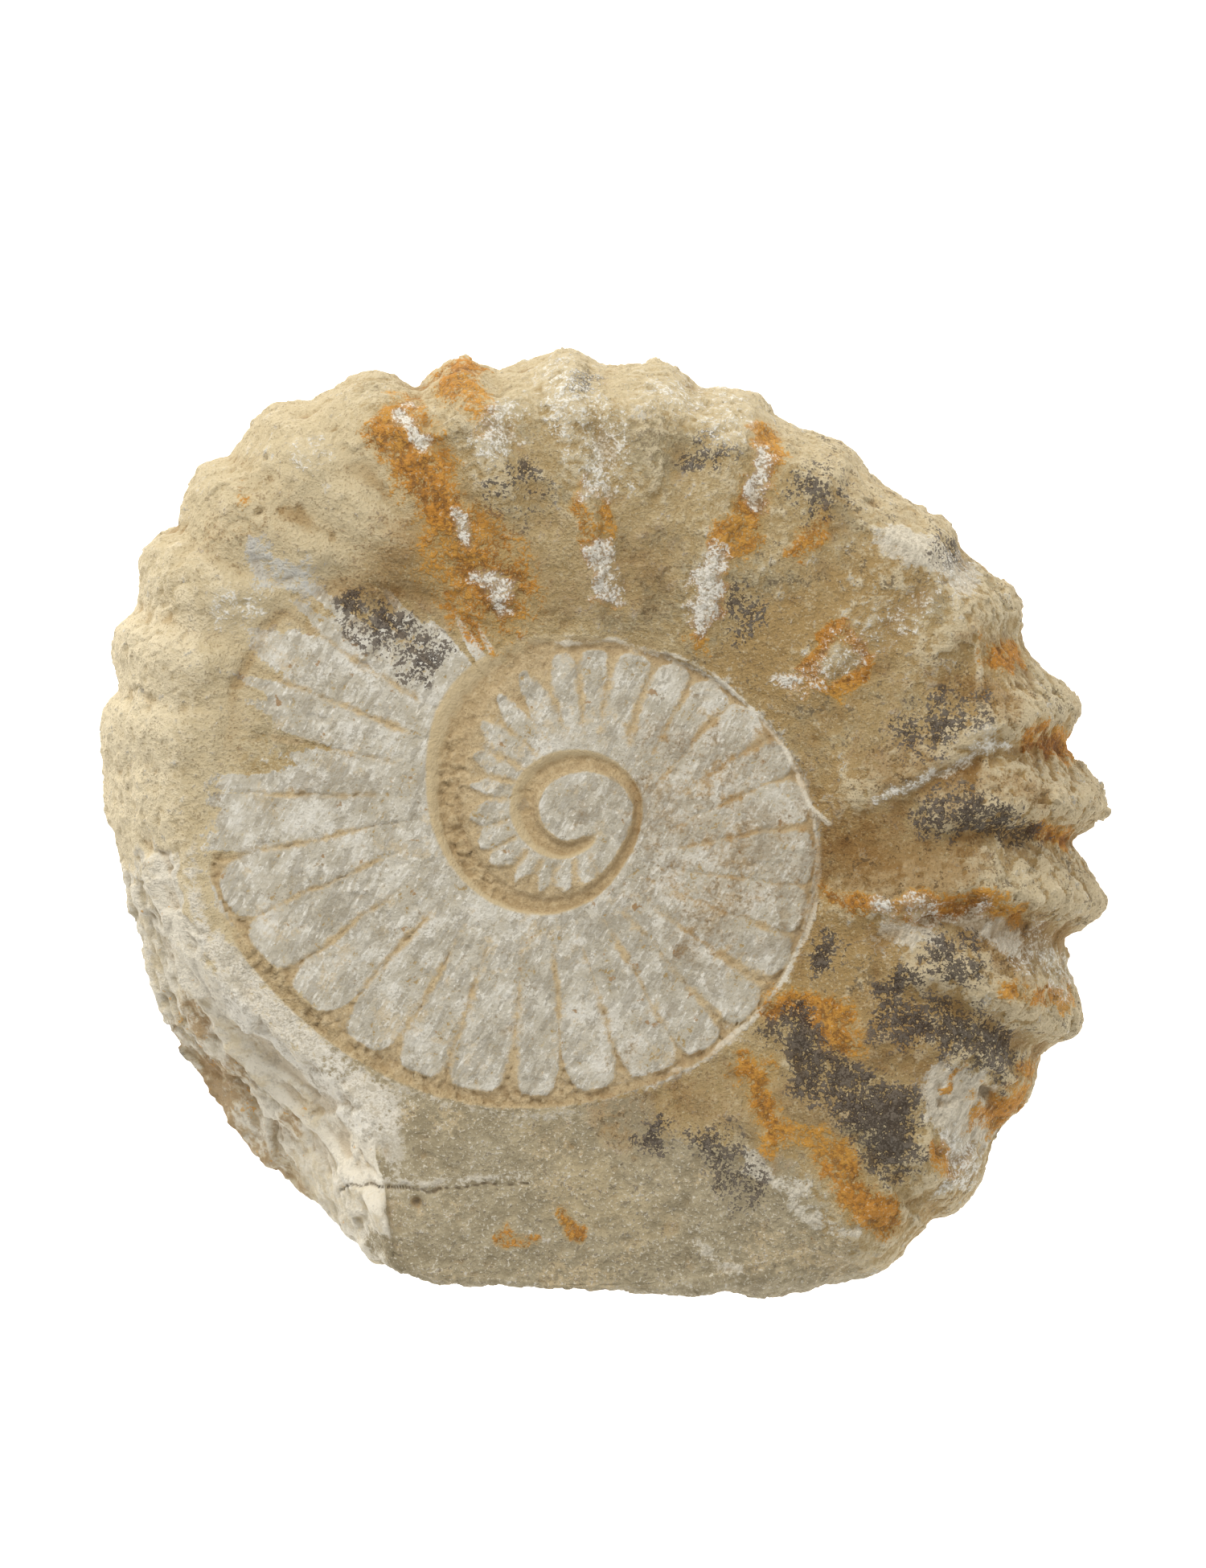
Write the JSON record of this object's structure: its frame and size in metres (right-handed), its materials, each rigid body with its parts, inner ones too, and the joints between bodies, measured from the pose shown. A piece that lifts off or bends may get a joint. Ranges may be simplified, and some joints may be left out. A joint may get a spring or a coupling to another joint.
{
  "type": "ammonite fossil",
  "caption": "Carved ammonite in limestone: ribbed coiled shell with ground inner whorls, resting on a flat ground back.",
  "frame": {"origin": "middle of the bounding box in plan, on the flat ground back that it rests on", "axes": "+X to the shell's most strongly ribbed side and +Y to the top of the coil, both as the carved face is looked at; +Z out of the carved face"},
  "size_m": [0.15, 0.1396, 0.0546],
  "materials": {
    "fossil_limestone": "dry tan limestone with grey ground whorls, iron-orange and dark mineral stains; dull, with a slight sheen on the ground face"
  },
  "bodies": {
    "root": {"ammonite_fossil": "fossil_limestone"}
  },
  "joints": []
}
